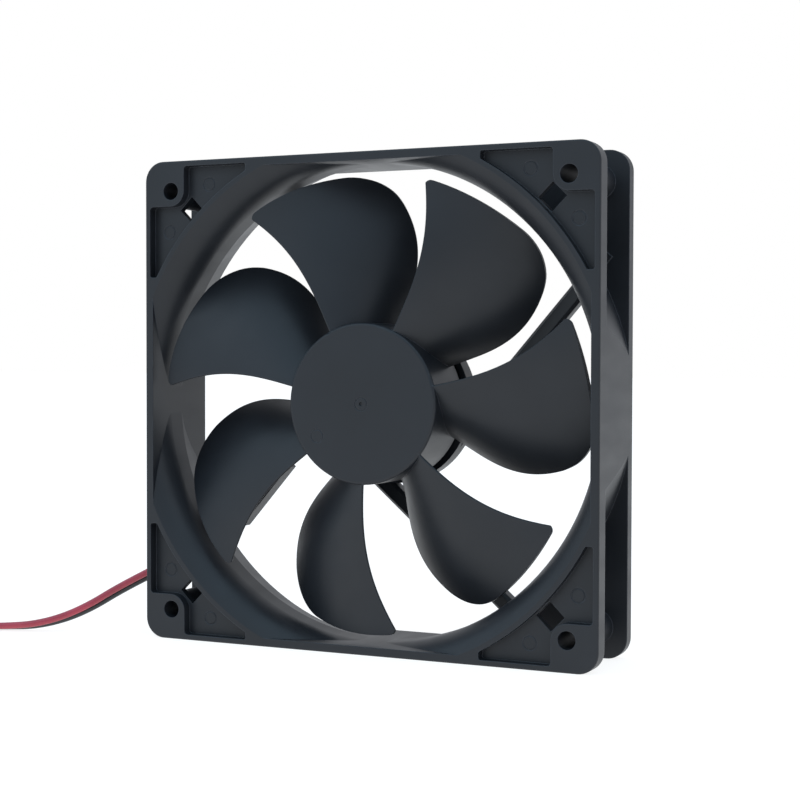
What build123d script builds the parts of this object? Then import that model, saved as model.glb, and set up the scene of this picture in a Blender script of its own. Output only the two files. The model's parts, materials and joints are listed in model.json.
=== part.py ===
from build123d import *
from math import cos, pi, radians, sin, sqrt, tan
import os

os.makedirs("parts", exist_ok=True)

# A 120 mm axial case fan standing on its lower edge, in millimetres.
# +Z is up, +X is to the right and the intake face looks along -Y.
# The origin is the middle of the lower edge, where the fan stands.

# ---- driving dimensions -------------------------------------------------
SIZE = 120.0                 # width and height of the frame
DEPTH = 25.0                 # front face to rear face
HOLE_SPACING = 105.0         # between screw holes, both ways
HOLE_RADIUS = 2.15
CORNER_RADIUS = 5.0
FRONT_FLANGE = 4.5
REAR_FLANGE = 3.4
EDGE_ROUND = 0.4

THROAT_RADIUS = 58.0         # narrowest radius of the air duct
THROAT_FRONT, THROAT_REAR = -4.0, 1.0
EXIT_RADIUS = 60.1           # the duct widens from the throat to this at the rear flange
FRONT_MOUTH_RADIUS = 63.5
REAR_MOUTH_RADIUS = 62.6
DUCT_HALF_WIDTH = 57.9       # the duct is flattened here on all four sides
BARREL_FRONT_RADIUS = 63.1   # the barrel's outside is a slight cone
BARREL_REAR_RADIUS = 60.9

RIM_WALL = 1.35              # wall left round the corner pockets
RIM_RADIUS = 64.7            # the pockets' inner boundary about the fan axis
POCKET_DEPTH = 2.5
POCKET_END = 31.0            # where a pocket's arm ends, from the fan's centre line
BOSS_SIZE = 11.3             # solid square left round each front screw hole
BOSS_ROUND = 4.0
WINDOW_WIDTH = 4.7           # slot through the flange between the duct's rim and the boss
WINDOW_START, WINDOW_END = 65.0, 70.0
MARK_OUTER, MARK_INNER, MARK_DEPTH = 1.8, 1.45, 0.12
SCREW_TUBE_RADIUS = 4.0      # tube round each screw hole, from flange to flange

BASE_RADIUS = 20.2           # round motor base that the struts carry
BASE_FRONT = 8.0
BASE_FLOOR = 11.0
BASE_BORE = 18.4
LEDGE_BORE = 17.2
COLLAR_RADIUS = 6.3
LABEL_RECESS = 0.3
LABEL_RADIUS = 18.2

STRUT_ANGLES = (49.0, 139.0, 319.0)
CHANNEL_ANGLE = 229.0        # this wider strut carries the leads
STRUT_NEAR, STRUT_FAR = 15.8, 20.0
STRUT_FRONT = 9.0
STRUT_REACH = 63.0
STRUT_CHAMFER = 0.8
CHANNEL_EDGE = 12.8
CHANNEL_INNER, CHANNEL_OUTER = 13.65, 18.3
CHANNEL_BULGE = 11.6         # the channel is wider over one stretch
BULGE_START, BULGE_END = 33.0, 54.0
BULGE_WALL = 1.2
NOTCH_FRONT = 3.5            # front of the notch that lets the leads out of the barrel
TAB_STARTS = (24.0, 44.0)    # small tabs that hold the leads in the channel
TAB_LENGTH, TAB_THICKNESS = 2.5, 0.5

HUB_RADIUS = 19.4
HUB_FRONT, HUB_REAR = -11.1, 5.2
HUB_WALL = 1.2
BLADE_COUNT = 7
TIP_RADIUS = 55.6
TRAILING_CORNER, LEADING_CORNER = 13.0, 1.6   # rounding of the blade tip's two corners
BLADE_THICKNESS = 1.9
BLADE_EDGE = 0.38            # half the thickness at the leading and trailing edges
CAMBER = 0.075               # height of the mean line over the chord

YOKE_WALL = 1.0
YOKE_REAR = 4.8
MAGNET_WALL = 2.2
MAGNET_FRONT, MAGNET_REAR = -7.0, 4.6
SHAFT_RADIUS = 1.5
SHAFT_END = 10.4
BUSH_RADIUS = 4.0
BUSH_REAR = -7.6

TUBE_RADIUS = 4.9
TUBE_FRONT, TUBE_REAR = -6.0, 11.9
BEARING_RADIUS = 4.0
BEARING_WIDTH = 4.0
FRONT_BEARING, REAR_BEARING = -3.8, 7.0   # depth of each bearing's middle
SHOULDER_BORE = 3.4
BALL_RADIUS = 0.75
BALL_CIRCLE = 2.75
BALL_COUNT = 7
RACE_CLEARANCE = 0.03

CORE_FRONT, CORE_REAR = -4.0, 3.0
CORE_RADIUS = 14.6
POLE_COUNT = 4
POLE_WIDTH = 4.2
SHOE_THICKNESS = 1.8
SHOE_GAP = 4.2
BOBBIN_FLOOR = 0.8
BOBBIN_HEIGHT = 3.2
WINDING_INNER, WINDING_OUTER = 8.3, 11.6
WINDING_THICKNESS = 3.0
PIN_CIRCLE = 9.8
PIN_RADIUS = 0.3

BOARD_FRONT, BOARD_REAR = 8.0, 9.0
BOARD_RADIUS = 18.2
BOARD_BORE = 6.6

LEAD_DIAMETER = 1.7
LEAD_DEPTH = 10.0            # depth at which the leads lie in their channel
RED_OFFSET, BLACK_OFFSET = 16.9, 14.6
LEAD_START, CHANNEL_END = 4.0, 50.0
COIL_CENTRE = (-123.0, -17.0)
COIL_BASE = 0.5
COIL_INNER, COIL_OUTER = 5.45, 14.65
COIL_HEIGHT = 3.5
HOUSING_X, HOUSING_START = -135.93, -4.0
HOUSING_LENGTH, HOUSING_WIDTH, HOUSING_HEIGHT = 11.5, 5.7, 4.8
CONTACT_PITCH = 2.54

# ---- derived values and placing ----------------------------------------
HALF = SIZE / 2
FRONT, REAR = -DEPTH / 2, DEPTH / 2
AXIS_POINT = (0, 0, HALF)
SPIN_AXIS = Axis(AXIS_POINT, (0, 1, 0))
PROFILE = Plane(AXIS_POINT, x_dir=(0, 1, 0), z_dir=(1, 0, 0))   # x is depth, y is radius
YOKE_RADIUS = HUB_RADIUS - HUB_WALL
YOKE_FRONT = HUB_FRONT + HUB_WALL
MAGNET_OUTER = YOKE_RADIUS - YOKE_WALL
MAGNET_INNER = MAGNET_OUTER - MAGNET_WALL
LABEL_FLOOR = REAR - LABEL_RECESS


def across(depth):
    """Plane across the fan at this depth, seen from the front: x right, y up."""
    return Plane((0, depth, HALF), x_dir=(1, 0, 0), z_dir=(0, -1, 0))


def along_strut(angle, distance):
    """Plane square to a strut: x is the offset from the axis, y is the depth."""
    turn = radians(angle)
    origin = (distance * cos(turn), 0, HALF + distance * sin(turn))
    return Plane(origin, x_dir=(sin(turn), 0, -cos(turn)), z_dir=(cos(turn), 0, sin(turn)))


def strut_point(distance, offset, depth):
    """Point in the lead channel's strut, in the fan's own frame."""
    return along_strut(CHANNEL_ANGLE, distance).from_local_coords((offset, depth, 0))


def save(piece, name):
    piece.part.label = name
    export_step(piece.part, f"parts/{name}.step")


# ---- frame ---------------------------------------------------------------
with BuildPart() as duct:
    with BuildSketch(PROFILE):
        with BuildLine():
            front_throat = (THROAT_FRONT, THROAT_RADIUS)
            front_lip = (FRONT, FRONT_MOUTH_RADIUS)
            Polyline(front_lip, (FRONT, 0), (REAR, 0), (REAR, REAR_MOUTH_RADIUS),
                     (REAR - REAR_FLANGE, EXIT_RADIUS), (THROAT_REAR, THROAT_RADIUS), front_throat)
            TangentArc(front_throat, front_lip, tangent=(-1, 0))
        make_face()
    revolve(axis=SPIN_AXIS)
    with BuildSketch(across(REAR)):
        Rectangle(2 * DUCT_HALF_WIDTH, 2 * DUCT_HALF_WIDTH)
    extrude(amount=DEPTH, mode=Mode.INTERSECT)


def pocket_sketch():
    """One corner pocket in the front flange's upper right corner, added to the open sketch."""
    inner_edge = HALF - RIM_WALL
    boss_edge = HALF - BOSS_SIZE
    arm = sqrt(RIM_RADIUS ** 2 - POCKET_END ** 2)
    with BuildLine() as outline:
        RadiusArc((POCKET_END, arm), (arm, POCKET_END), RIM_RADIUS)
        Polyline((arm, POCKET_END), (inner_edge, POCKET_END), (inner_edge, boss_edge),
                 (boss_edge, boss_edge), (boss_edge, inner_edge), (POCKET_END, inner_edge),
                 (POCKET_END, arm))
    make_face(outline.edges())


with BuildPart() as pockets:
    with BuildSketch(across(FRONT + POCKET_DEPTH)) as pocket_outline:
        pocket_sketch()
        corners = pocket_outline.vertices()
        boss_corner = corners.sort_by_distance((HALF - BOSS_SIZE, HALF - BOSS_SIZE))[0]
        fillet(boss_corner, BOSS_ROUND)
        tips = pocket_outline.vertices().filter_by(
            lambda v: abs(v.X - POCKET_END) < 0.01 or abs(v.Y - POCKET_END) < 0.01)
        fillet(tips, 0.6)
        far_corners = pocket_outline.vertices().filter_by(
            lambda v: abs(v.X - v.Y) > 5 and max(v.X, v.Y) > HALF - RIM_WALL - 0.01
            and min(v.X, v.Y) > POCKET_END + 5)
        fillet(far_corners, 0.9)
    extrude(amount=POCKET_DEPTH)
    with BuildSketch(across(FRONT + FRONT_FLANGE)):
        with PolarLocations((WINDOW_START + WINDOW_END) / 2, 1, start_angle=45):
            Rectangle(WINDOW_END - WINDOW_START, WINDOW_WIDTH)
    extrude(amount=FRONT_FLANGE)
    with BuildSketch(across(FRONT + POCKET_DEPTH + MARK_DEPTH)):
        with PolarLocations(69.0, 2, start_angle=38.3, angular_range=27.4):
            Circle(MARK_OUTER)
            Circle(MARK_INNER, mode=Mode.SUBTRACT)
    extrude(amount=MARK_DEPTH)


def strut_section(near, far, front, chamfer):
    """Cross-section of a strut, added to the open sketch."""
    with BuildLine() as outline:
        Polyline((near, REAR), (near, front + chamfer), (near + chamfer, front),
                 (far - chamfer, front), (far, front + chamfer), (far, REAR), close=True)
    make_face(outline.edges())


def channel_section(near, far, front):
    """Cross-section of a cut down to the motor base's floor, added to the open sketch."""
    with Locations(((near + far) / 2, (front + BASE_FLOOR) / 2)):
        Rectangle(far - near, BASE_FLOOR - front)


with BuildPart() as frame:
    with BuildSketch(PROFILE):
        with BuildLine():
            Polyline((FRONT + 1, 0), (FRONT + 1, BARREL_FRONT_RADIUS),
                     (REAR - 1, BARREL_REAR_RADIUS), (REAR - 1, 0), close=True)
        make_face()
    revolve(axis=SPIN_AXIS)
    with BuildSketch(across(REAR)):
        RectangleRounded(SIZE, SIZE, CORNER_RADIUS)
    extrude(amount=DEPTH, mode=Mode.INTERSECT)
    with BuildSketch(across(FRONT + FRONT_FLANGE)):
        RectangleRounded(SIZE, SIZE, CORNER_RADIUS)
    extrude(amount=FRONT_FLANGE)
    with BuildSketch(across(REAR)):
        RectangleRounded(SIZE, SIZE, CORNER_RADIUS)
    extrude(amount=REAR_FLANGE)
    faces_across = frame.faces().filter_by(Axis.Y).sort_by(Axis.Y)
    fillet(faces_across[0].outer_wire().edges() + faces_across[-1].outer_wire().edges(), EDGE_ROUND)
    with BuildSketch(across(REAR - REAR_FLANGE)):
        with GridLocations(HOLE_SPACING, HOLE_SPACING, 2, 2):
            Circle(SCREW_TUBE_RADIUS)
    extrude(amount=DEPTH - FRONT_FLANGE - REAR_FLANGE)
    add(duct.part, mode=Mode.SUBTRACT)
    for quarter in range(4):
        add(pockets.part.rotate(SPIN_AXIS, 90 * quarter), mode=Mode.SUBTRACT)
    with BuildSketch(across(REAR)):
        with GridLocations(HOLE_SPACING, HOLE_SPACING, 2, 2):
            Circle(HOLE_RADIUS)
    extrude(amount=DEPTH, mode=Mode.SUBTRACT)

    # motor base and struts, then the base's inside
    with BuildSketch(across(REAR)):
        Circle(BASE_RADIUS)
    extrude(amount=REAR - BASE_FRONT)
    for strut_angle in STRUT_ANGLES:
        with BuildSketch(along_strut(strut_angle, 0)):
            strut_section(STRUT_NEAR, STRUT_FAR, STRUT_FRONT, STRUT_CHAMFER)
        extrude(amount=STRUT_REACH)
    with BuildSketch(along_strut(CHANNEL_ANGLE, 0)):
        strut_section(CHANNEL_EDGE, STRUT_FAR, STRUT_FRONT - 0.5, 0.4)
    extrude(amount=STRUT_REACH - 2)
    with BuildSketch(along_strut(CHANNEL_ANGLE, BULGE_START)):
        strut_section(CHANNEL_BULGE, CHANNEL_EDGE + 2, STRUT_FRONT - 1, 0.3)
    extrude(amount=BULGE_END - BULGE_START)
    with BuildSketch(across(BASE_FLOOR)):
        Circle(BASE_BORE)
        Circle(COLLAR_RADIUS, mode=Mode.SUBTRACT)
    extrude(amount=BASE_FLOOR - BASE_FRONT, mode=Mode.SUBTRACT)
    with BuildSketch(across(BASE_FLOOR)):
        Circle(BASE_BORE)
        Circle(LEDGE_BORE, mode=Mode.SUBTRACT)
    extrude(amount=BASE_FLOOR - BOARD_REAR)
    with BuildSketch(across(REAR)):
        Circle(TUBE_RADIUS)
    extrude(amount=REAR - BASE_FRONT, mode=Mode.SUBTRACT)
    with BuildSketch(across(REAR)):
        Circle(LABEL_RADIUS + 0.3)
    extrude(amount=LABEL_RECESS, mode=Mode.SUBTRACT)

    # the lead channel, its wider stretch, its way out through the barrel, and its tabs
    with BuildSketch(along_strut(CHANNEL_ANGLE, 0)):
        channel_section(CHANNEL_INNER, CHANNEL_OUTER, BASE_FRONT - 1)
    extrude(amount=STRUT_REACH, mode=Mode.SUBTRACT)
    with BuildSketch(along_strut(CHANNEL_ANGLE, BULGE_START + BULGE_WALL)):
        channel_section(CHANNEL_BULGE + BULGE_WALL, CHANNEL_INNER + 1, BASE_FRONT - 1)
    extrude(amount=BULGE_END - BULGE_START - 2 * BULGE_WALL, mode=Mode.SUBTRACT)
    with BuildSketch(along_strut(CHANNEL_ANGLE, CHANNEL_END - 2)):
        channel_section(CHANNEL_BULGE + BULGE_WALL, CHANNEL_OUTER, NOTCH_FRONT)
    extrude(amount=STRUT_REACH - CHANNEL_END + 5, mode=Mode.SUBTRACT)
    tab_width = STRUT_FAR - TAB_THICKNESS - CHANNEL_INNER - 0.6
    tab_middle = STRUT_FAR - TAB_THICKNESS - tab_width / 2
    for tab_start in TAB_STARTS:
        with BuildSketch(along_strut(CHANNEL_ANGLE, tab_start)):
            with Locations((tab_middle, STRUT_FRONT - TAB_THICKNESS / 2)):
                Rectangle(tab_width, TAB_THICKNESS)
        extrude(amount=TAB_LENGTH)
save(frame, "frame")

# ---- impeller ------------------------------------------------------------
# Each blade station: radius, leading-edge angle, trailing-edge angle (degrees from +X
# towards +Z), leading-edge depth, trailing-edge depth. The last lies beyond the tip.
BLADE_STATIONS = (
    (18.9, 65.2, 27.6, -10.6, 2.6),
    (28.7, 65.0, 25.1, -10.6, 3.8),
    (38.0, 66.7, 26.4, -10.2, 4.1),
    (47.3, 70.0, 32.0, -9.6, 3.6),
    (60.0, 75.2, 43.2, -8.9, 1.2),
)


def blade_section(radius, leading, trailing, leading_depth, trailing_depth):
    """Thin cambered section between a blade's two edges at one station."""
    middle = radians((leading + trailing) / 2)
    half = radians((leading - trailing) / 2)
    distance = radius * cos(half)
    plane = Plane((distance * cos(middle), 0, HALF + distance * sin(middle)),
                  x_dir=(-sin(middle), 0, cos(middle)), z_dir=(cos(middle), 0, sin(middle)))
    nose = Vector(radius * sin(half), -leading_depth)
    tail = Vector(-radius * sin(half), -trailing_depth)
    chord = (nose - tail).normalized()
    normal = Vector(-chord.Y, chord.X)
    nose_centre = nose - chord * BLADE_EDGE
    tail_centre = tail + chord * BLADE_EDGE
    crown = (nose + tail) * 0.5 + normal * ((nose - tail).length * CAMBER)
    with BuildSketch(plane) as section:
        with BuildLine():
            ThreePointArc(tail_centre + normal * BLADE_EDGE, crown + normal * BLADE_THICKNESS / 2,
                          nose_centre + normal * BLADE_EDGE)
            ThreePointArc(nose_centre + normal * BLADE_EDGE, nose, nose_centre - normal * BLADE_EDGE)
            ThreePointArc(nose_centre - normal * BLADE_EDGE, crown - normal * BLADE_THICKNESS / 2,
                          tail_centre - normal * BLADE_EDGE)
            ThreePointArc(tail_centre - normal * BLADE_EDGE, tail, tail_centre + normal * BLADE_EDGE)
        make_face()
    return section.sketch


def on_circle(radius, angle):
    return radius * cos(radians(angle)), radius * sin(radians(angle))


# The outline that trims a blade, seen from the front: its tip's two corners, and the lines
# that run from them towards the hub just outside the blade's own edges.
LEADING_TIP, TRAILING_TIP = on_circle(TIP_RADIUS, 73.7), on_circle(TIP_RADIUS, 39.1)
LEADING_SIDE = (LEADING_TIP, on_circle(47.3, 70.8), on_circle(20, 80))
TRAILING_SIDE = (TRAILING_TIP, on_circle(47.3, 31.6), on_circle(32, 5))

with BuildPart() as blade:
    loft([blade_section(*station) for station in BLADE_STATIONS])
    with BuildSketch(across(REAR)) as planform:
        with BuildLine():
            ThreePointArc(LEADING_TIP, on_circle(TIP_RADIUS, 56), TRAILING_TIP)
            Polyline(*TRAILING_SIDE, (0, 0), *reversed(LEADING_SIDE))
        make_face()
        fillet(planform.vertices().sort_by_distance(LEADING_TIP)[0], LEADING_CORNER)
        fillet(planform.vertices().sort_by_distance(TRAILING_TIP)[0], TRAILING_CORNER)
    extrude(amount=DEPTH, mode=Mode.INTERSECT)

with BuildPart() as impeller:
    with BuildSketch(across(HUB_REAR)):
        Circle(HUB_RADIUS)
    extrude(amount=HUB_REAR - HUB_FRONT)
    fillet(impeller.edges().sort_by(Axis.Y)[0], 0.7)
    for blade_index in range(BLADE_COUNT):
        add(blade.part.rotate(SPIN_AXIS, -360 / BLADE_COUNT * blade_index))
    with BuildSketch(across(HUB_REAR)):
        Circle(YOKE_RADIUS)
    extrude(amount=HUB_REAR - YOKE_FRONT, mode=Mode.SUBTRACT)
    with BuildSketch(across(HUB_FRONT + MARK_DEPTH)):
        for mark in ((0, 0), (-11.8, -7.9)):
            with Locations(mark):
                Circle(1.7)
                Circle(1.4, mode=Mode.SUBTRACT)
    extrude(amount=MARK_DEPTH, mode=Mode.SUBTRACT)
    with BuildSketch(across(HUB_FRONT + 0.4)):
        Circle(0.5)
    extrude(amount=0.4, mode=Mode.SUBTRACT)
save(impeller, "impeller")

# ---- rotor ---------------------------------------------------------------
def ring(outer, inner, front, rear):
    """Plain ring or, with inner 0, a disc about the fan axis, added to the open part."""
    with BuildSketch(across(rear)) as section:
        Circle(outer)
        if inner:
            Circle(inner, mode=Mode.SUBTRACT)
    extrude(section.sketch, amount=rear - front)


def bore(radius, front, rear):
    """Round hole about the fan axis, cut from the open part."""
    with BuildSketch(across(rear)) as section:
        Circle(radius)
    extrude(section.sketch, amount=rear - front, mode=Mode.SUBTRACT)


with BuildPart() as rotor_yoke:
    ring(YOKE_RADIUS, BUSH_RADIUS - 1.4, YOKE_FRONT, YOKE_REAR)
    bore(MAGNET_OUTER, YOKE_FRONT + 0.8, YOKE_REAR)
save(rotor_yoke, "rotor_yoke")

with BuildPart() as rotor_magnet:
    ring(MAGNET_OUTER, MAGNET_INNER, MAGNET_FRONT, MAGNET_REAR)
    chamfer(rotor_magnet.edges().filter_by(GeomType.CIRCLE).filter_by(
        lambda e: abs(e.radius - MAGNET_INNER) < 0.01), 0.3)
save(rotor_magnet, "rotor_magnet")

with BuildPart() as shaft_bush:
    ring(BUSH_RADIUS - 1.4, SHAFT_RADIUS, YOKE_FRONT, YOKE_FRONT + 0.8)
    ring(BUSH_RADIUS, SHAFT_RADIUS, YOKE_FRONT + 0.8, BUSH_REAR)
save(shaft_bush, "shaft_bush")

CLIP_FRONT, CLIP_REAR = 9.3, 9.7
GROOVE_RADIUS = 1.1
with BuildPart() as shaft:
    ring(SHAFT_RADIUS, 0, YOKE_FRONT, SHAFT_END)
    with BuildSketch(across(CLIP_REAR)):
        Circle(SHAFT_RADIUS + 1)
        Circle(GROOVE_RADIUS, mode=Mode.SUBTRACT)
    extrude(amount=CLIP_REAR - CLIP_FRONT, mode=Mode.SUBTRACT)
    chamfer(shaft.edges().sort_by(Axis.Y)[-1], 0.3)
save(shaft, "shaft")

with BuildPart() as shaft_clip:
    ring(2.9, GROOVE_RADIUS, CLIP_FRONT, CLIP_REAR)
    with BuildSketch(across(CLIP_REAR)):
        with Locations((0, -2.5)):
            Rectangle(1.6, 5)
    extrude(amount=CLIP_REAR - CLIP_FRONT, mode=Mode.SUBTRACT)
save(shaft_clip, "shaft_clip")

with BuildPart() as shaft_washer:
    ring(2.2, SHAFT_RADIUS, REAR_BEARING + BEARING_WIDTH / 2, CLIP_FRONT)
save(shaft_washer, "shaft_washer")

SPRING_WIRE = 0.2
SPRING_RADIUS = 1.85
SPRING_FRONT, SPRING_REAR = BUSH_REAR, FRONT_BEARING - BEARING_WIDTH / 2
with BuildPart() as preload_spring:
    spring_height = SPRING_REAR - SPRING_FRONT - 2 * SPRING_WIRE
    with BuildLine() as spring_line:
        Helix(pitch=spring_height / 2.5, height=spring_height, radius=SPRING_RADIUS,
              center=(0, SPRING_REAR - SPRING_WIRE, HALF), direction=(0, -1, 0))
    with BuildSketch(Plane(spring_line.line @ 0, z_dir=spring_line.line % 0)):
        Circle(SPRING_WIRE - 0.01)
    sweep(path=spring_line.line, is_frenet=True)
save(preload_spring, "preload_spring")

# ---- ball bearings -------------------------------------------------------
GROOVE = BALL_RADIUS + RACE_CLEARANCE
OUTER_RACE_BORE, INNER_RACE_RADIUS = 3.3, 2.2
SHIELD_THICKNESS = 0.2
SHIELD_SEAT = 3.45


def race_groove(middle):
    """Ball groove of both races, cut from the open part."""
    with BuildSketch(PROFILE) as section:
        with Locations((middle, BALL_CIRCLE)):
            Circle(GROOVE)
    revolve(section.sketch, axis=SPIN_AXIS, mode=Mode.SUBTRACT)


def ball_bearing(name, middle):
    """Outer ring, inner ring, balls, cage and two shields of one bearing."""
    front, rear = middle - BEARING_WIDTH / 2, middle + BEARING_WIDTH / 2
    shield_inset = 0.15
    with BuildPart() as outer_ring:
        ring(BEARING_RADIUS, OUTER_RACE_BORE, front, rear)
        race_groove(middle)
        for end in (front, rear - shield_inset - SHIELD_THICKNESS):
            bore(SHIELD_SEAT, end, end + shield_inset + SHIELD_THICKNESS)
    save(outer_ring, f"{name}_outer_ring")
    with BuildPart() as inner_ring:
        ring(INNER_RACE_RADIUS, SHAFT_RADIUS, front, rear)
        race_groove(middle)
    save(inner_ring, f"{name}_inner_ring")
    with BuildPart() as balls:
        with Locations(across(middle)):
            with PolarLocations(BALL_CIRCLE, BALL_COUNT):
                Sphere(BALL_RADIUS)
    save(balls, f"{name}_balls")
    with BuildPart() as cage:
        ring(3.0, 2.5, middle - 1.1, middle + 1.1)
        with Locations(across(middle)):
            with PolarLocations(BALL_CIRCLE, BALL_COUNT):
                Cylinder(BALL_RADIUS + 0.04, 2, rotation=(0, 90, 0), mode=Mode.SUBTRACT)
    save(cage, f"{name}_cage")
    with BuildPart() as shields:
        for end in (front + shield_inset, rear - shield_inset - SHIELD_THICKNESS):
            ring(SHIELD_SEAT, INNER_RACE_RADIUS + 0.12, end, end + SHIELD_THICKNESS)
    save(shields, f"{name}_shields")


ball_bearing("front_bearing", FRONT_BEARING)
ball_bearing("rear_bearing", REAR_BEARING)

with BuildPart() as bearing_tube:
    ring(TUBE_RADIUS, SHOULDER_BORE, TUBE_FRONT, TUBE_REAR)
    bore(BEARING_RADIUS, TUBE_FRONT, FRONT_BEARING + BEARING_WIDTH / 2)
    bore(BEARING_RADIUS, REAR_BEARING - BEARING_WIDTH / 2, TUBE_REAR)
save(bearing_tube, "bearing_tube")

# ---- stator --------------------------------------------------------------
CORE_HUB = 7.4
POLE_TURNS = [360 / POLE_COUNT * pole for pole in range(POLE_COUNT)]


def pole_sketch(inner, outer, width):
    """Four straight poles about the fan axis, added to the open sketch."""
    with PolarLocations((inner + outer) / 2, POLE_COUNT):
        Rectangle(outer - inner, width)


with BuildPart() as stator_core:
    with BuildSketch(across(CORE_REAR)):
        Circle(CORE_RADIUS)
        Circle(CORE_RADIUS - SHOE_THICKNESS, mode=Mode.SUBTRACT)
        with PolarLocations(CORE_RADIUS, POLE_COUNT, start_angle=45):
            Rectangle(6, SHOE_GAP, mode=Mode.SUBTRACT)
        Circle(CORE_HUB)
        pole_sketch(CORE_HUB - 1, CORE_RADIUS - SHOE_THICKNESS / 2, POLE_WIDTH)
        Circle(TUBE_RADIUS, mode=Mode.SUBTRACT)
    extrude(amount=CORE_REAR - CORE_FRONT)
save(stator_core, "stator_core")


def insulator(core_face, outward):
    """Moulded bobbin half on one face of the core; outward is -1 to the front, +1 to the rear."""
    floor = core_face + outward * BOBBIN_FLOOR
    top = core_face + outward * BOBBIN_HEIGHT
    near, far = sorted((core_face, floor))
    with BuildPart() as bobbin:
        with BuildSketch(across(far)):
            Circle(WINDING_INNER)
            pole_sketch(WINDING_INNER - 1, CORE_RADIUS - 0.6, POLE_WIDTH)
            Circle(TUBE_RADIUS, mode=Mode.SUBTRACT)
        extrude(amount=far - near)
        near, far = sorted((core_face, top))
        with BuildSketch(across(far)):
            Circle(WINDING_INNER)
            Circle(WINDING_INNER - 0.8, mode=Mode.SUBTRACT)
            with PolarLocations((WINDING_OUTER + CORE_RADIUS - 1) / 2, POLE_COUNT):
                Rectangle(CORE_RADIUS - 1 - WINDING_OUTER, 9.0)
            if outward > 0:
                with PolarLocations(PIN_CIRCLE - 0.6, POLE_COUNT, start_angle=45):
                    SlotOverall(4.4, 2.6)
                Circle(WINDING_INNER - 0.8, mode=Mode.SUBTRACT)
        extrude(amount=far - near)
        if outward > 0:
            with BuildSketch(across(top)):
                with PolarLocations(PIN_CIRCLE, POLE_COUNT, start_angle=45):
                    Circle(PIN_RADIUS)
            extrude(amount=1.6, mode=Mode.SUBTRACT)
    return bobbin


save(insulator(CORE_FRONT, -1), "front_insulator")
save(insulator(CORE_REAR, 1), "rear_insulator")

for winding_index, pole_turn in enumerate(POLE_TURNS):
    pole_plane = Plane((0, (CORE_FRONT + CORE_REAR) / 2, HALF), x_dir=(0, 1, 0), z_dir=(1, 0, 0))
    window_depth = CORE_REAR - CORE_FRONT + 2 * BOBBIN_FLOOR
    with BuildPart() as winding:
        with BuildSketch(pole_plane.offset(WINDING_INNER)):
            RectangleRounded(window_depth + 4.6, POLE_WIDTH + 2 * WINDING_THICKNESS, 1.6)
            Rectangle(window_depth, POLE_WIDTH, mode=Mode.SUBTRACT)
        extrude(amount=WINDING_OUTER - WINDING_INNER)
    winding.part = winding.part.rotate(SPIN_AXIS, -pole_turn)
    save(winding, f"winding_{winding_index + 1}")

PIN_FRONT, PIN_REAR = CORE_REAR + BOBBIN_HEIGHT - 1.6, 9.8
with BuildPart() as winding_pins:
    with BuildSketch(across(PIN_REAR)):
        with PolarLocations(PIN_CIRCLE, POLE_COUNT, start_angle=45):
            Circle(PIN_RADIUS)
    extrude(amount=PIN_REAR - PIN_FRONT)
save(winding_pins, "winding_pins")

# ---- circuit board -------------------------------------------------------
CHIP_PLACE = on_circle(14.6, 90)
CHIP_LEG_SPREAD = 1.27
with BuildPart() as circuit_board:
    with BuildSketch(across(BOARD_REAR)):
        Circle(BOARD_RADIUS)
        Circle(BOARD_BORE, mode=Mode.SUBTRACT)
        with PolarLocations(PIN_CIRCLE, POLE_COUNT, start_angle=45):
            Circle(PIN_RADIUS + 0.1, mode=Mode.SUBTRACT)
        with Locations((0, -BOARD_RADIUS)):
            Rectangle(3, 2.4, mode=Mode.SUBTRACT)
    extrude(amount=BOARD_REAR - BOARD_FRONT)
save(circuit_board, "circuit_board")

with BuildPart() as driver_chip:
    with BuildSketch(across(BOARD_FRONT - 0.2)):
        with Locations(CHIP_PLACE):
            Rectangle(5.2, 3.4)
    extrude(amount=1.4)
    chamfer(driver_chip.faces().sort_by(Axis.Y)[0].edges(), 0.25)
    with BuildSketch(across(BOARD_FRONT)):
        for leg in (-1.5, -0.5, 0.5, 1.5):
            with Locations((leg * CHIP_LEG_SPREAD, CHIP_PLACE[1] - 2.2)):
                Rectangle(0.4, 1.4)
    extrude(amount=0.35)
save(driver_chip, "driver_chip")


def surface_part(name, place, length, width, height, turn=0):
    """Small soldered component on the board's rear face."""
    with BuildPart() as component:
        with BuildSketch(across(BOARD_REAR + height)):
            with Locations(Location(place, turn)):
                Rectangle(length, width)
        extrude(amount=height)
        chamfer(component.faces().sort_by(Axis.Y)[-1].edges(), 0.12)
    save(component, name)


surface_part("filter_capacitor", on_circle(12.6, 20), 3.2, 1.8, 1.5, 110)
surface_part("reverse_diode", on_circle(12.8, 70), 3.6, 1.7, 1.2, 160)
surface_part("sense_resistor", on_circle(12.6, 110), 2.0, 1.25, 0.55, 20)
surface_part("start_resistor", on_circle(12.6, 330), 2.0, 1.25, 0.55, 60)

with BuildPart() as solder_joints:
    joint_places = [on_circle(PIN_CIRCLE, 45 + turn) for turn in POLE_TURNS]
    for joint_place in joint_places:
        with Locations(across(BOARD_REAR + 0.35).location * Location(joint_place)):
            Cone(PIN_RADIUS + 0.6, PIN_RADIUS + 0.15, 0.7, rotation=(180, 0, 0))
    for offset in (RED_OFFSET, BLACK_OFFSET):
        pad = strut_point(LEAD_START - 0.8, offset, 0)
        with Locations(across(BOARD_REAR + 0.75).location * Location((pad.X, pad.Z - HALF))):
            Cylinder(0.8, 1.5)
    with BuildSketch(across(PIN_REAR)):
        with PolarLocations(PIN_CIRCLE, POLE_COUNT, start_angle=45):
            Circle(PIN_RADIUS)
    extrude(amount=PIN_REAR - BOARD_REAR, mode=Mode.SUBTRACT)
save(solder_joints, "solder_joints")

with BuildPart() as rear_label:
    ring(LABEL_RADIUS, 0, LABEL_FLOOR, LABEL_FLOOR + 0.15)
save(rear_label, "rear_label")

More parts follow.
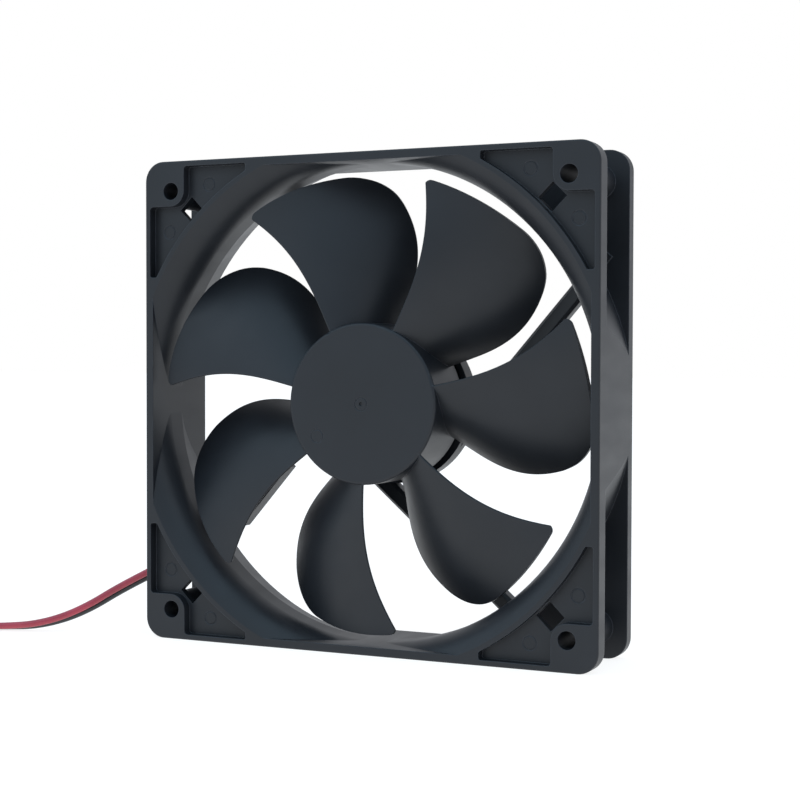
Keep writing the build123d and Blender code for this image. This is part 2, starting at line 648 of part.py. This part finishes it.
# ---- leads ---------------------------------------------------------------
# Free routes from the frame's left side down to the surface and on to the coil, then
# from the coil to the wire housing: points set by hand, red lead first.
RED_ROUTE = [(-60.0, 1.0, 18.4), (-71.5, -4.0, 12.3), (-80.5, -12.0, 5.3), (-88.5, -18.8, 2.1),
             (-99.0, -21.9, 1.2), (-111.0, -28.2, 1.1), (-123.0, -30.8, 1.36)]
BLACK_ROUTE = [(-60.0, 2.6, 17.3), (-71.5, -2.5, 11.3), (-80.5, -10.5, 4.3), (-89.2, -17.3, 1.3),
               (-99.5, -20.2, 0.9), (-111.6, -26.5, 1.0), (-123.0, -29.0, 1.36)]
RED_TAIL = [(-135.0, -17.0, 3.1), (-134.9, -10.5, 2.9), (-134.66, -4.0, 2.4)]
BLACK_TAIL = [(-136.8, -17.0, 3.1), (-137.0, -10.5, 2.9), (-137.2, -4.0, 2.4)]


def bend_radii(points):
    """As large a radius at each corner as its two runs allow."""
    radii = []
    for before, corner, after in zip(points, points[1:], points[2:]):
        arriving, leaving = corner - before, after - corner
        turn = radians(arriving.get_angle(leaving))
        radii.append(0.45 * min(arriving.length, leaving.length) / tan(turn / 2))
    return radii


def lead_tube(name, points):
    """Round lead along straight runs joined by tangent arcs."""
    points = [Vector(point) for point in points]
    radii = bend_radii(points)
    with BuildPart() as lead:
        with BuildLine() as path:
            FilletPolyline(*points, radius=radii)
        with BuildSketch(Plane(path.line @ 0, z_dir=path.line % 0)) as section:
            Circle(LEAD_DIAMETER / 2)
        sweep(section.sketch, path=path.line)
    length = sum(edge.length for edge in path.edges())
    expected = length * pi * LEAD_DIAMETER ** 2 / 4
    print(name, "length", round(length, 1), "radii", [round(r, 1) for r in radii],
          "volume ratio", round(lead.part.volume / expected, 4))
    save(lead, name)
    return length


def held_route(offset, free_route):
    """From the board along the strut's channel and out through the barrel."""
    leaving = Vector(free_route[0])
    direction = (Vector(free_route[1]) - leaving).normalized()
    return [strut_point(LEAD_START, offset, LEAD_DEPTH), strut_point(CHANNEL_END, offset, LEAD_DEPTH),
            leaving - direction * 10, leaving]


lead_tube("red_lead_inner", held_route(RED_OFFSET, RED_ROUTE))
lead_tube("black_lead_inner", held_route(BLACK_OFFSET, BLACK_ROUTE))
lead_tube("red_lead_free", RED_ROUTE)
lead_tube("black_lead_free", BLACK_ROUTE)
lead_tube("red_lead_tail", RED_TAIL)
lead_tube("black_lead_tail", BLACK_TAIL)

with BuildPart() as lead_coil:
    with BuildSketch(Plane.XY.offset(COIL_BASE)):
        with Locations(COIL_CENTRE):
            Circle(COIL_OUTER)
            Circle(COIL_INNER, mode=Mode.SUBTRACT)
    extrude(amount=COIL_HEIGHT)
    fillet(lead_coil.edges().filter_by(GeomType.CIRCLE), 0.8)
save(lead_coil, "lead_coil")

TIE_THICKNESS, TIE_WIDTH = 0.5, 2.4
with BuildPart() as lead_tie:
    tie_plane = Plane((COIL_CENTRE[0] + TIE_WIDTH / 2, COIL_CENTRE[1], 0),
                      x_dir=(0, 1, 0), z_dir=(1, 0, 0))
    inner, outer = COIL_INNER - 0.2, COIL_OUTER + 0.05
    with BuildSketch(tie_plane):
        with BuildLine():
            Polyline((inner - TIE_THICKNESS, 0), (outer + TIE_THICKNESS, 0),
                     (outer + TIE_THICKNESS, COIL_BASE + COIL_HEIGHT + TIE_THICKNESS),
                     (inner - TIE_THICKNESS, COIL_BASE + COIL_HEIGHT + TIE_THICKNESS), close=True)
        make_face()
        with BuildLine():
            Polyline((inner, COIL_BASE), (outer, COIL_BASE), (outer, COIL_BASE + COIL_HEIGHT),
                     (inner, COIL_BASE + COIL_HEIGHT), close=True)
        make_face(mode=Mode.SUBTRACT)
        with Locations((outer + TIE_THICKNESS + 0.9, COIL_BASE + COIL_HEIGHT / 2)):
            Rectangle(1.8, 3.2)
    extrude(amount=-TIE_WIDTH)
save(lead_tie, "lead_tie")

# ---- wire housing --------------------------------------------------------
housing_entry = Plane((HOUSING_X, HOUSING_START, HOUSING_HEIGHT / 2), x_dir=(1, 0, 0), z_dir=(0, 1, 0))
CAVITY, MOUTH = 2.0, 1.2
ENTRY_DEPTH, CAVITY_END = 3.0, 10.3
with BuildPart() as connector_housing:
    with BuildSketch(housing_entry):
        Rectangle(HOUSING_WIDTH, HOUSING_HEIGHT)
    extrude(amount=HOUSING_LENGTH)
    fillet(connector_housing.edges().filter_by(Axis.Y), 0.35)
    with BuildSketch(housing_entry):
        with GridLocations(CONTACT_PITCH, 1, 2, 1):
            Circle(LEAD_DIAMETER / 2 + 0.05)
    extrude(amount=ENTRY_DEPTH, mode=Mode.SUBTRACT)
    with BuildSketch(housing_entry.offset(ENTRY_DEPTH)):
        with GridLocations(CONTACT_PITCH, 1, 2, 1):
            Rectangle(CAVITY, CAVITY)
    extrude(amount=CAVITY_END - ENTRY_DEPTH, mode=Mode.SUBTRACT)
    with BuildSketch(housing_entry.offset(CAVITY_END)):
        with GridLocations(CONTACT_PITCH, 1, 2, 1):
            Rectangle(MOUTH, MOUTH)
    extrude(amount=HOUSING_LENGTH - CAVITY_END, mode=Mode.SUBTRACT)
    with BuildSketch(Plane.XY.offset(HOUSING_HEIGHT)):
        with Locations((HOUSING_X, HOUSING_START + 7)):
            with GridLocations(CONTACT_PITCH, 1, 2, 1):
                Rectangle(1.1, 2.4)
    extrude(amount=-(HOUSING_HEIGHT - CAVITY) / 2, mode=Mode.SUBTRACT)
save(connector_housing, "connector_housing")

with BuildPart() as connector_contacts:
    with BuildSketch(housing_entry.offset(ENTRY_DEPTH)):
        with GridLocations(CONTACT_PITCH, 1, 2, 1):
            Rectangle(CAVITY - 0.2, CAVITY - 0.2)
    extrude(amount=CAVITY_END - ENTRY_DEPTH - 0.2)
    with BuildSketch(housing_entry.offset(ENTRY_DEPTH)):
        with GridLocations(CONTACT_PITCH, 1, 2, 1):
            Rectangle(MOUTH, MOUTH)
    extrude(amount=CAVITY_END - ENTRY_DEPTH, mode=Mode.SUBTRACT)
save(connector_contacts, "connector_contacts")
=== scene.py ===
"""Looks of the 120 mm case fan: its two leads, its materials, and a plain white studio."""

import json
from math import cos, pi, radians, sin

import bpy
from mathutils import Matrix, Vector


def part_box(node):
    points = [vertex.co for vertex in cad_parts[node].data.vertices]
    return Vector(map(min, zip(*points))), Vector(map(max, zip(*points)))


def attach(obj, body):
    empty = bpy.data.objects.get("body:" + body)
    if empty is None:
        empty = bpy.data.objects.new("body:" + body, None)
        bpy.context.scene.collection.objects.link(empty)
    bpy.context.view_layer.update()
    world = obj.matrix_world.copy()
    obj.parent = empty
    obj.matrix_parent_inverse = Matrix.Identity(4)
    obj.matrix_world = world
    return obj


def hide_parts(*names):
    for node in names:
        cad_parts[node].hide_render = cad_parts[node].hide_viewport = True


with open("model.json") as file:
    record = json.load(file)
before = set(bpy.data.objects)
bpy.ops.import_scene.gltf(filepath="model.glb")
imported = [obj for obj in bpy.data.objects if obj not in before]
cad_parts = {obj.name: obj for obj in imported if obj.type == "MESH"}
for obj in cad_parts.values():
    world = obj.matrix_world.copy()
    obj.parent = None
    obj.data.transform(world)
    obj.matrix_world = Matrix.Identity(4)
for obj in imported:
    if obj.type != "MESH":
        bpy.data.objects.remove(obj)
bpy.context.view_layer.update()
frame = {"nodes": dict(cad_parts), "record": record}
nodes = frame["nodes"]

HOUSING = "housing"
FAN_AXIS = sum(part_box("shaft"), Vector()) / 2        # a point on the axis that the fan turns about


# ---- camera ----------------------------------------------------------------
CAMERA_PLACE = (0.1749, -0.3647, 0.0727)
CAMERA_YAW, CAMERA_PITCH, CAMERA_ROLL = -24.96, -1.70, 0.13    # degrees
CAMERA_LENS = 74.4                                             # on the 36 mm sensor


def make_camera():
    """Level three-quarter view of the intake face from the right."""
    yaw, pitch, roll = radians(CAMERA_YAW), radians(CAMERA_PITCH), radians(CAMERA_ROLL)
    ahead = Vector((sin(yaw) * cos(pitch), cos(yaw) * cos(pitch), sin(pitch)))
    level = Vector((cos(yaw), -sin(yaw), 0))
    upright = level.cross(ahead)
    right = level * cos(roll) + upright * sin(roll)
    up = upright * cos(roll) - level * sin(roll)
    camera = bpy.data.objects.new("camera", bpy.data.cameras.new("camera"))
    camera.data.lens = CAMERA_LENS
    camera.data.sensor_width = 36
    camera.data.clip_start = 0.01
    turn = Matrix((right, up, -ahead)).transposed()
    camera.matrix_world = Matrix.Translation(CAMERA_PLACE) @ turn.to_4x4()
    bpy.context.scene.collection.objects.link(camera)
    bpy.context.scene.camera = camera


# ---- leads -----------------------------------------------------------------
LEAD_DIAMETER = 0.0017
RED_ROUTE = [(-0.0600, 0.0010, 0.0184), (-0.0715, -0.0040, 0.0123), (-0.0805, -0.0120, 0.0053),
             (-0.0885, -0.0188, 0.0021), (-0.0990, -0.0219, 0.0012), (-0.1110, -0.0282, 0.0011),
             (-0.1230, -0.0308, 0.00136)]
BLACK_ROUTE = [(-0.0600, 0.0026, 0.0173), (-0.0715, -0.0025, 0.0113), (-0.0805, -0.0105, 0.0043),
               (-0.0892, -0.0173, 0.0013), (-0.0995, -0.0202, 0.0009), (-0.1116, -0.0265, 0.0010),
               (-0.1230, -0.0290, 0.00136)]
RED_TAIL = [(-0.1350, -0.0170, 0.0031), (-0.1349, -0.0105, 0.0029), (-0.13466, -0.0040, 0.0024),
            (-0.13466, -0.0018, 0.0024)]
BLACK_TAIL = [(-0.1368, -0.0170, 0.0031), (-0.1370, -0.0105, 0.0029), (-0.1372, -0.0040, 0.0024),
              (-0.1372, -0.0018, 0.0024)]

COIL_CENTRE = (-0.123, -0.017)
COIL_TURNS = 3.25
TURN_POINTS = 24
PAIR_OUTER, PAIR_INNER = 0.0129, 0.0072     # radius of the pair's middle, first and innermost turn
LEAD_PITCH = 0.00175
LOWER_LAYER, UPPER_LAYER = 0.00136, 0.00311
RISE_START = {-1: 0.42, 1: 0.53}            # the share of the turns where each lead climbs
RISE_LENGTH = 0.06
SWAP_START, SWAP_END = 0.48, 0.53           # in between, the upper lead crosses over the lower one


def smooth_step(low, high, value):
    share = min(max((value - low) / (high - low), 0), 1)
    return share * share * (3 - 2 * share)


def coil_points(side):
    """The put-away turns: inwards on the surface, then outwards on top.

    Side is 1 for the lead that starts outside and -1 for the other. They change places halfway,
    so that both use up the same length.
    """
    steps = round(COIL_TURNS * TURN_POINTS)
    points = []
    for step in range(1, steps):
        share = step / steps
        inward = 1 - abs(1 - 2 * share)
        side_here = side * (1 - 2 * smooth_step(SWAP_START, SWAP_END, share))
        radius = PAIR_OUTER + (PAIR_INNER - PAIR_OUTER) * inward + side_here * LEAD_PITCH / 2
        angle = -pi / 2 - 2 * pi * COIL_TURNS * share
        rise = smooth_step(RISE_START[side], RISE_START[side] + RISE_LENGTH, share)
        points.append((COIL_CENTRE[0] + radius * cos(angle), COIL_CENTRE[1] + radius * sin(angle),
                       LOWER_LAYER + (UPPER_LAYER - LOWER_LAYER) * rise))
    return points


def make_lead(name, route, side, tail, material, stands_for):
    """One lead from the frame's side to the wire housing, on one smooth curve."""
    points = route + coil_points(side) + tail
    curve = bpy.data.curves.new(name, "CURVE")
    curve.dimensions = "3D"
    spline = curve.splines.new("NURBS")
    spline.points.add(len(points) - 1)
    for control, point in zip(spline.points, points):
        control.co = (*point, 1)
    spline.order_u = 3
    spline.use_endpoint_u = True
    spline.resolution_u = 8
    curve.bevel_depth = LEAD_DIAMETER / 2
    curve.bevel_resolution = 6
    curve.use_fill_caps = True
    curve.materials.append(material)
    lead = bpy.data.objects.new(name, curve)
    bpy.context.scene.collection.objects.link(lead)
    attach(lead, HOUSING)
    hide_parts(*stands_for)
    return lead


# ---- material building blocks ------------------------------------------------
class Nodes:
    """The node tree of a material or a world, and short ways to build it."""

    def __init__(self, owner):
        owner.use_nodes = True
        self.nodes = owner.node_tree.nodes
        self.links = owner.node_tree.links

    def add(self, kind, values=None, **settings):
        """New node with its settings and its socket values, which may be other nodes' outputs."""
        node = self.nodes.new(kind)
        for name, setting in settings.items():
            setattr(node, name, setting)
        for socket, value in (values or {}).items():
            if isinstance(value, bpy.types.NodeSocket):
                self.links.new(value, node.inputs[socket])
            else:
                node.inputs[socket].default_value = value
        return node

    def remap(self, value, low, high, new_low, new_high):
        return self.add("ShaderNodeMapRange", {"Value": value, "From Min": low, "From Max": high,
                                               "To Min": new_low, "To Max": new_high}).outputs["Result"]

    def maths(self, operation, first, second=0.0):
        return self.add("ShaderNodeMath", {0: first, 1: second}, operation=operation).outputs["Value"]

    def blend(self, share, first, second):
        """Colour between two colours, by a share from 0 to 1."""
        node = self.add("ShaderNodeMix", {"Factor": share}, data_type="RGBA")
        for socket, value in (("A", first), ("B", second)):
            target = next(i for i in node.inputs if i.name == socket and i.type == "RGBA")
            if isinstance(value, bpy.types.NodeSocket):
                self.links.new(value, target)
            else:
                target.default_value = (*value, 1)
        return next(o for o in node.outputs if o.type == "RGBA")


class Shader(Nodes):
    """A material with a Principled shader, and short ways to feed its sockets."""

    def __init__(self, name, colour, roughness, metallic=0.0):
        self.material = bpy.data.materials.new(name)
        super().__init__(self.material)
        self.shader = self.nodes["Principled BSDF"]
        self.set("Base Color", (*colour, 1))
        self.set("Roughness", roughness)
        self.set("Metallic", metallic)
        self.place = self.nodes.new("ShaderNodeTexCoord").outputs["Object"]

    def set(self, socket, value):
        self.shader.inputs[socket].default_value = value

    def link(self, output, socket):
        self.links.new(output, self.shader.inputs[socket])

    def noise(self, size, detail=2.0, stretch=(1, 1, 1)):
        """Noise from 0 to 1 whose blotches are about this size in metres."""
        mapping = self.add("ShaderNodeMapping", {"Vector": self.place, "Scale": stretch})
        texture = self.add("ShaderNodeTexNoise", {"Vector": mapping.outputs["Vector"],
                                                  "Scale": 1 / size, "Detail": detail})
        return texture.outputs["Fac"]

    def clouds(self, size, detail=2.0, stretch=(1, 1, 1)):
        """The same noise, with its middle range spread over 0 to 1."""
        return self.remap(self.noise(size, detail, stretch), 0.3, 0.7, 0.0, 1.0)

    def bump(self, height, distance, strength=1.0, normal=None):
        values = {"Height": height, "Distance": distance, "Strength": strength}
        if normal:
            values["Normal"] = normal
        return self.add("ShaderNodeBump", values).outputs["Normal"]

    def coordinate(self, axis):
        separate = self.add("ShaderNodeSeparateXYZ", {"Vector": self.place})
        return separate.outputs[axis]

    def axis_distance(self):
        """Distance from the fan's axis, in metres."""
        offset = self.add("ShaderNodeVectorMath", {0: self.place, 1: tuple(FAN_AXIS)},
                          operation="SUBTRACT")
        flat = self.add("ShaderNodeVectorMath", {0: offset.outputs["Vector"], 1: (1, 0, 1)},
                        operation="MULTIPLY")
        return self.add("ShaderNodeVectorMath", {0: flat.outputs["Vector"]},
                        operation="LENGTH").outputs["Value"]

    def edges(self, radius):
        """Normal rounded over every sharp edge, and a mask that is 1 along those edges, which the
        materials use to paint a highlight on the edges.
        """
        rounded = self.add("ShaderNodeBevel", {"Radius": radius}, samples=6).outputs["Normal"]
        true_normal = self.add("ShaderNodeNewGeometry").outputs["True Normal"]
        agreement = self.add("ShaderNodeVectorMath", {0: rounded, 1: true_normal},
                             operation="DOT_PRODUCT").outputs["Value"]
        return rounded, self.remap(agreement, 0.98, 0.8, 0.0, 1.0)


# ---- materials ---------------------------------------------------------------
PLASTIC_SPECULAR = 0.4
EDGE_HIGHLIGHT = 4.5            # how much paler a moulding's edges are painted than its faces, as a painted highlight
LAMINATION_PITCH = 0.0005
WIRE_PITCH = 0.00028
BOARD_CELL = 0.0035          # size of the copper areas under the solder mask
LABEL_RING_RADIUS, LABEL_RING_WIDTH = 0.0166, 0.00044


def scaled(colour, factor):
    return tuple(channel * factor for channel in colour)


def moulded_plastic(name, colour, roughness, grain=0.00035, grain_depth=0.000004, edge=0.0003):
    """Satin moulding: faint flow marks, fine grain, and a painted highlight along the edges, broken up by
    noise.
    """
    s = Shader(name, colour, roughness)
    s.set("Specular IOR Level", PLASTIC_SPECULAR)
    rounded, edge_highlight_mask = s.edges(edge)
    clouds = s.clouds(0.022, 3)
    flow = s.remap(s.noise(0.006, 2, (1, 0.25, 1)), 0.35, 0.65, 0.0, 1.0)
    body = s.blend(clouds, scaled(colour, 0.86), scaled(colour, 1.14))
    # painted highlight: the edge mask, broken up by noise, makes the edges much paler than the faces
    highlight_breakup = s.noise(0.003, 4)
    edge_highlight = s.maths("MULTIPLY", edge_highlight_mask, s.remap(highlight_breakup, 0.35, 0.65, 0.35, 1.0))
    s.link(s.blend(edge_highlight, body, scaled(colour, EDGE_HIGHLIGHT)), "Base Color")
    dull = s.remap(s.maths("ADD", flow, clouds), 0.0, 2.0, roughness - 0.05, roughness + 0.06)
    s.link(dull, "Roughness")
    fine = s.bump(s.noise(grain, 3), grain_depth, 1.0, rounded)
    s.link(s.bump(s.noise(0.009, 1), 0.00004, 0.5, fine), "Normal")
    return s.material


def metal(name, colour, roughness, streak=(1, 1, 1), streak_size=0.0008, depth=0.000003):
    """Worked metal whose streaks run along the axis with the smallest stretch."""
    s = Shader(name, colour, roughness, metallic=1.0)
    rounded, edge_highlight_mask = s.edges(0.00008)
    lines = s.noise(streak_size, 5, streak)
    tone = s.blend(s.remap(lines, 0.3, 0.7, 0.0, 1.0), scaled(colour, 0.86), colour)
    # painted highlight: the edge mask makes the edges paler than the faces
    s.link(s.blend(edge_highlight_mask, tone, scaled(colour, 1.15)), "Base Color")
    s.link(s.remap(lines, 0.3, 0.7, roughness - 0.06, roughness + 0.08), "Roughness")
    s.link(s.bump(lines, depth, 0.7, rounded), "Normal")
    return s.material


def ferrite():
    colour = (0.05, 0.047, 0.045)
    s = Shader("ferrite", colour, 0.7)
    specks = s.remap(s.noise(0.0003, 4), 0.55, 0.75, 0.0, 1.0)
    s.link(s.blend(specks, colour, (0.13, 0.125, 0.12)), "Base Color")
    s.link(s.bump(s.noise(0.0004, 4), 0.00001), "Normal")
    return s.material


def banded(name, colour, dark, roughness, metallic, pitch, outwards, depth):
    """Layers stacked along the fan's axis, or outwards from it like the turns of a winding."""
    s = Shader(name, colour, roughness, metallic)
    place = s.axis_distance() if outwards else s.coordinate("Y")
    turns = s.maths("MULTIPLY", place, 2 * pi / pitch)
    wave = s.remap(s.maths("SINE", turns), -1.0, 1.0, 0.0, 1.0)
    tone = s.blend(s.clouds(0.002, 3), scaled(colour, 0.8), colour)
    s.link(s.blend(s.remap(wave, 0.0, 0.35, 1.0, 0.0), tone, dark), "Base Color")
    s.link(s.bump(wave, depth), "Normal")
    return s.material


def board():
    mask, copper = (0.02, 0.11, 0.045), (0.05, 0.2, 0.07)
    s = Shader("board_laminate", mask, 0.32)
    s.set("Coat Weight", 0.4)
    cells = s.add("ShaderNodeTexVoronoi", {"Vector": s.place, "Scale": 1 / BOARD_CELL},
                  feature="DISTANCE_TO_EDGE").outputs["Distance"]
    track = s.remap(cells, 0.08, 0.11, 0.0, 1.0)
    s.link(s.blend(track, mask, copper), "Base Color")
    s.link(s.bump(track, 0.00003, 0.6), "Normal")
    return s.material


def label_film():
    """Blank silvered film with a plain printed ring near its edge."""
    colour = (0.66, 0.67, 0.69)
    s = Shader("label_paper", colour, 0.34, 0.35)
    radius = s.axis_distance()
    ring_line = s.maths("COMPARE", radius, LABEL_RING_RADIUS)
    ring_line.node.inputs[2].default_value = LABEL_RING_WIDTH / 2
    film = s.blend(s.clouds(0.0012, 4, (1, 1, 0.08)), scaled(colour, 0.9), colour)
    s.link(s.blend(ring_line, film, (0.03, 0.03, 0.032)), "Base Color")
    s.link(s.bump(s.noise(0.004, 2), 0.00003, 0.4), "Normal")
    return s.material


def insulation(name, colour, roughness=0.36):
    """Extruded PVC with slight rings along the wire and a soft gloss."""
    s = Shader(name, colour, roughness)
    s.set("Coat Weight", 0.15)
    s.set("Coat Roughness", 0.25)
    s.link(s.blend(s.clouds(0.006), scaled(colour, 0.85), scaled(colour, 1.1)), "Base Color")
    s.link(s.bump(s.noise(0.0009, 2), 0.00001, 0.6), "Normal")
    return s.material


def natural_nylon(name, colour, roughness=0.42):
    """Unpigmented nylon, a little translucent."""
    s = Shader(name, colour, roughness)
    s.set("Subsurface Weight", 0.25)
    s.set("Subsurface Radius", (1.0, 0.9, 0.7))
    s.set("Subsurface Scale", 0.0008)
    rounded, edge_highlight_mask = s.edges(0.00015)
    body = s.blend(s.clouds(0.003, 3), scaled(colour, 0.93), colour)
    # painted highlight: the edge mask makes the edges paler than the faces
    s.link(s.blend(edge_highlight_mask, body, scaled(colour, 1.08)), "Base Color")
    s.link(s.bump(s.noise(0.0004, 3), 0.000004, 0.6, rounded), "Normal")
    return s.material


def solder():
    s = Shader("solder", (0.66, 0.67, 0.68), 0.24, 1.0)
    s.link(s.remap(s.noise(0.0008, 3), 0.3, 0.7, 0.18, 0.4), "Roughness")
    s.link(s.bump(s.noise(0.0006, 2), 0.00003, 0.6), "Normal")
    return s.material


def small_body(name, colour, roughness):
    """Ceramic or epoxy body of a small component."""
    s = Shader(name, colour, roughness)
    rounded, edge_highlight_mask = s.edges(0.00008)
    grain = s.remap(s.noise(0.0002, 3), 0.35, 0.65, 0.0, 1.0)
    body = s.blend(grain, scaled(colour, 0.85), scaled(colour, 1.15))
    # painted highlight: the edge mask makes the edges paler than the faces
    s.link(s.blend(edge_highlight_mask, body, scaled(colour, 1.6)), "Base Color")
    s.link(s.bump(s.noise(0.00025, 3), 0.000004, 0.8, rounded), "Normal")
    return s.material


def make_materials():
    """One finished material for each of the record's material slots."""
    return {
        "frame_plastic": moulded_plastic("frame_plastic", (0.0115, 0.0135, 0.0172), 0.42),
        "impeller_plastic": moulded_plastic("impeller_plastic", (0.0105, 0.0128, 0.0168), 0.4,
                                            grain=0.0005, grain_depth=0.000003, edge=0.0002),
        "zinc_steel": metal("zinc_steel", (0.56, 0.57, 0.58), 0.32, (1, 0.1, 1)),
        "ferrite": ferrite(),
        "ground_steel": metal("ground_steel", (0.62, 0.62, 0.63), 0.2, (0.1, 4, 0.1), 0.0004),
        "brass": metal("brass", (0.72, 0.5, 0.2), 0.26, (0.2, 5, 0.2), 0.0005),
        "spring_steel": metal("spring_steel", (0.33, 0.33, 0.35), 0.3),
        "nylon": natural_nylon("nylon", (0.74, 0.72, 0.64)),
        "lamination_steel": banded("lamination_steel", (0.3, 0.3, 0.32), (0.05, 0.05, 0.055), 0.42, 0.9,
                                   LAMINATION_PITCH, False, 0.00004),
        "insulator_plastic": natural_nylon("insulator_plastic", (0.7, 0.67, 0.56)),
        "copper_winding": banded("copper_winding", (0.62, 0.22, 0.07), (0.12, 0.03, 0.012), 0.3, 0.85,
                                 WIRE_PITCH, True, 0.00006),
        "tinned_brass": metal("tinned_brass", (0.7, 0.68, 0.6), 0.24),
        "board_laminate": board(),
        "chip_plastic": small_body("chip_plastic", (0.02, 0.02, 0.021), 0.55),
        "capacitor_body": small_body("capacitor_body", (0.36, 0.23, 0.12), 0.4),
        "resistor_body": small_body("resistor_body", (0.025, 0.025, 0.03), 0.3),
        "solder": solder(),
        "label_paper": label_film(),
        "bearing_steel": metal("bearing_steel", (0.68, 0.68, 0.69), 0.16, (0.2, 4, 0.2), 0.0003, 0.000001),
        "cage_plastic": natural_nylon("cage_plastic", (0.62, 0.56, 0.4)),
        "red_insulation": insulation("red_insulation", (0.4, 0.036, 0.062)),
        "black_insulation": insulation("black_insulation", (0.016, 0.016, 0.018), 0.34),
        "tie_plastic": small_body("tie_plastic", (0.02, 0.02, 0.021), 0.4),
        "connector_plastic": natural_nylon("connector_plastic", (0.78, 0.76, 0.68), 0.38),
    }


def dress_nodes(materials):
    """Gives every CAD node that shows its own slot's material."""
    for subpart in frame["record"]["subparts"]:
        mesh = nodes[subpart["node"]].data
        mesh.materials.clear()
        mesh.materials.append(materials[subpart["material_slot"]])


# ---- studio ------------------------------------------------------------------
FLOOR_SIZE = 8.0
PAPER_GLOW = 0.85            # the paper's own light, which keeps it white under the fan too
PAPER_COLOUR = (0.3, 0.3, 0.3)


def area_light(name, place, power):
    """Square lamp that faces the middle of the fan."""
    light = bpy.data.lights.new(name, "AREA")
    light.size = LAMP_SIZE
    light.energy = power
    lamp = bpy.data.objects.new(name, light)
    lamp.location = place
    lamp.rotation_mode = "QUATERNION"
    lamp.rotation_quaternion = (FAN_AXIS - Vector(place)).to_track_quat("-Z", "Y")
    bpy.context.scene.collection.objects.link(lamp)


def make_floor():
    """White paper that glows evenly, the way a light table does."""
    half = FLOOR_SIZE / 2
    mesh = bpy.data.meshes.new("floor")
    corners = [(-half, -half, 0), (half, -half, 0), (half, half, 0), (-half, half, 0)]
    mesh.from_pydata(corners, [], [(0, 1, 2, 3)])
    paper = Shader("paper", PAPER_COLOUR, 0.9)
    paper.set("Specular IOR Level", 0.0)
    paper.set("Emission Color", (1, 1, 1, 1))
    paper.set("Emission Strength", PAPER_GLOW)
    mesh.materials.append(paper.material)
    floor = bpy.data.objects.new("floor", mesh)
    bpy.context.scene.collection.objects.link(floor)


BEHIND = (0.74, 0.76, 0.8)
FRONT_LEFT = (0.8, 0.95, 1.08)
FRONT_RIGHT = (0.38, 0.43, 0.5)
FRONT_OVERHEAD = (0.85, 1.15, 1.4)
RIGHT_TO_LEFT = (0.35, -0.6)         # where each change of the surroundings starts and ends,
LEVEL_TO_OVERHEAD = (0.25, 0.8)      # as the direction's own X, Z or Y
FRONT_TO_BEHIND = (-0.15, 0.3)

LAMP_SIZE = 0.6
KEY_PLACE, KEY_POWER = (-0.7, -0.9, 0.9), 0.5
SIDE_PLACE, SIDE_POWER = (0.9, -0.1, 0.4), 0.8


def make_surroundings():
    """Light from all round: pale behind the fan, bluish overhead and at the front left, dim at the right.

    The camera itself sees plain white paper in every direction.
    """
    world = bpy.data.worlds.new("studio")
    sky = Nodes(world)
    direction = sky.add("ShaderNodeTexCoord").outputs["Generated"]
    along = sky.add("ShaderNodeSeparateXYZ", {"Vector": direction}).outputs
    front = sky.blend(sky.remap(along["X"], *RIGHT_TO_LEFT, 0.0, 1.0), FRONT_RIGHT, FRONT_LEFT)
    front = sky.blend(sky.remap(along["Z"], *LEVEL_TO_OVERHEAD, 0.0, 1.0), front, FRONT_OVERHEAD)
    around = sky.blend(sky.remap(along["Y"], *FRONT_TO_BEHIND, 0.0, 1.0), front, BEHIND)
    to_camera = sky.add("ShaderNodeLightPath").outputs["Is Camera Ray"]
    sky.links.new(sky.blend(to_camera, around, (1, 1, 1)), sky.nodes["Background"].inputs["Color"])
    bpy.context.scene.world = world


def make_studio():
    make_surroundings()
    bpy.context.scene.view_settings.view_transform = "Standard"
    area_light("key", KEY_PLACE, KEY_POWER)
    area_light("side", SIDE_PLACE, SIDE_POWER)
    make_floor()


# ---- the whole scene -----------------------------------------------------------
make_camera()
materials = make_materials()
dress_nodes(materials)
red_lead = make_lead("red_lead", RED_ROUTE, 1, RED_TAIL, materials["red_insulation"],
                     ("red_lead_free", "red_lead_tail", "lead_coil"))
black_lead = make_lead("black_lead", BLACK_ROUTE, -1, BLACK_TAIL, materials["black_insulation"],
                       ("black_lead_free", "black_lead_tail"))
make_studio()
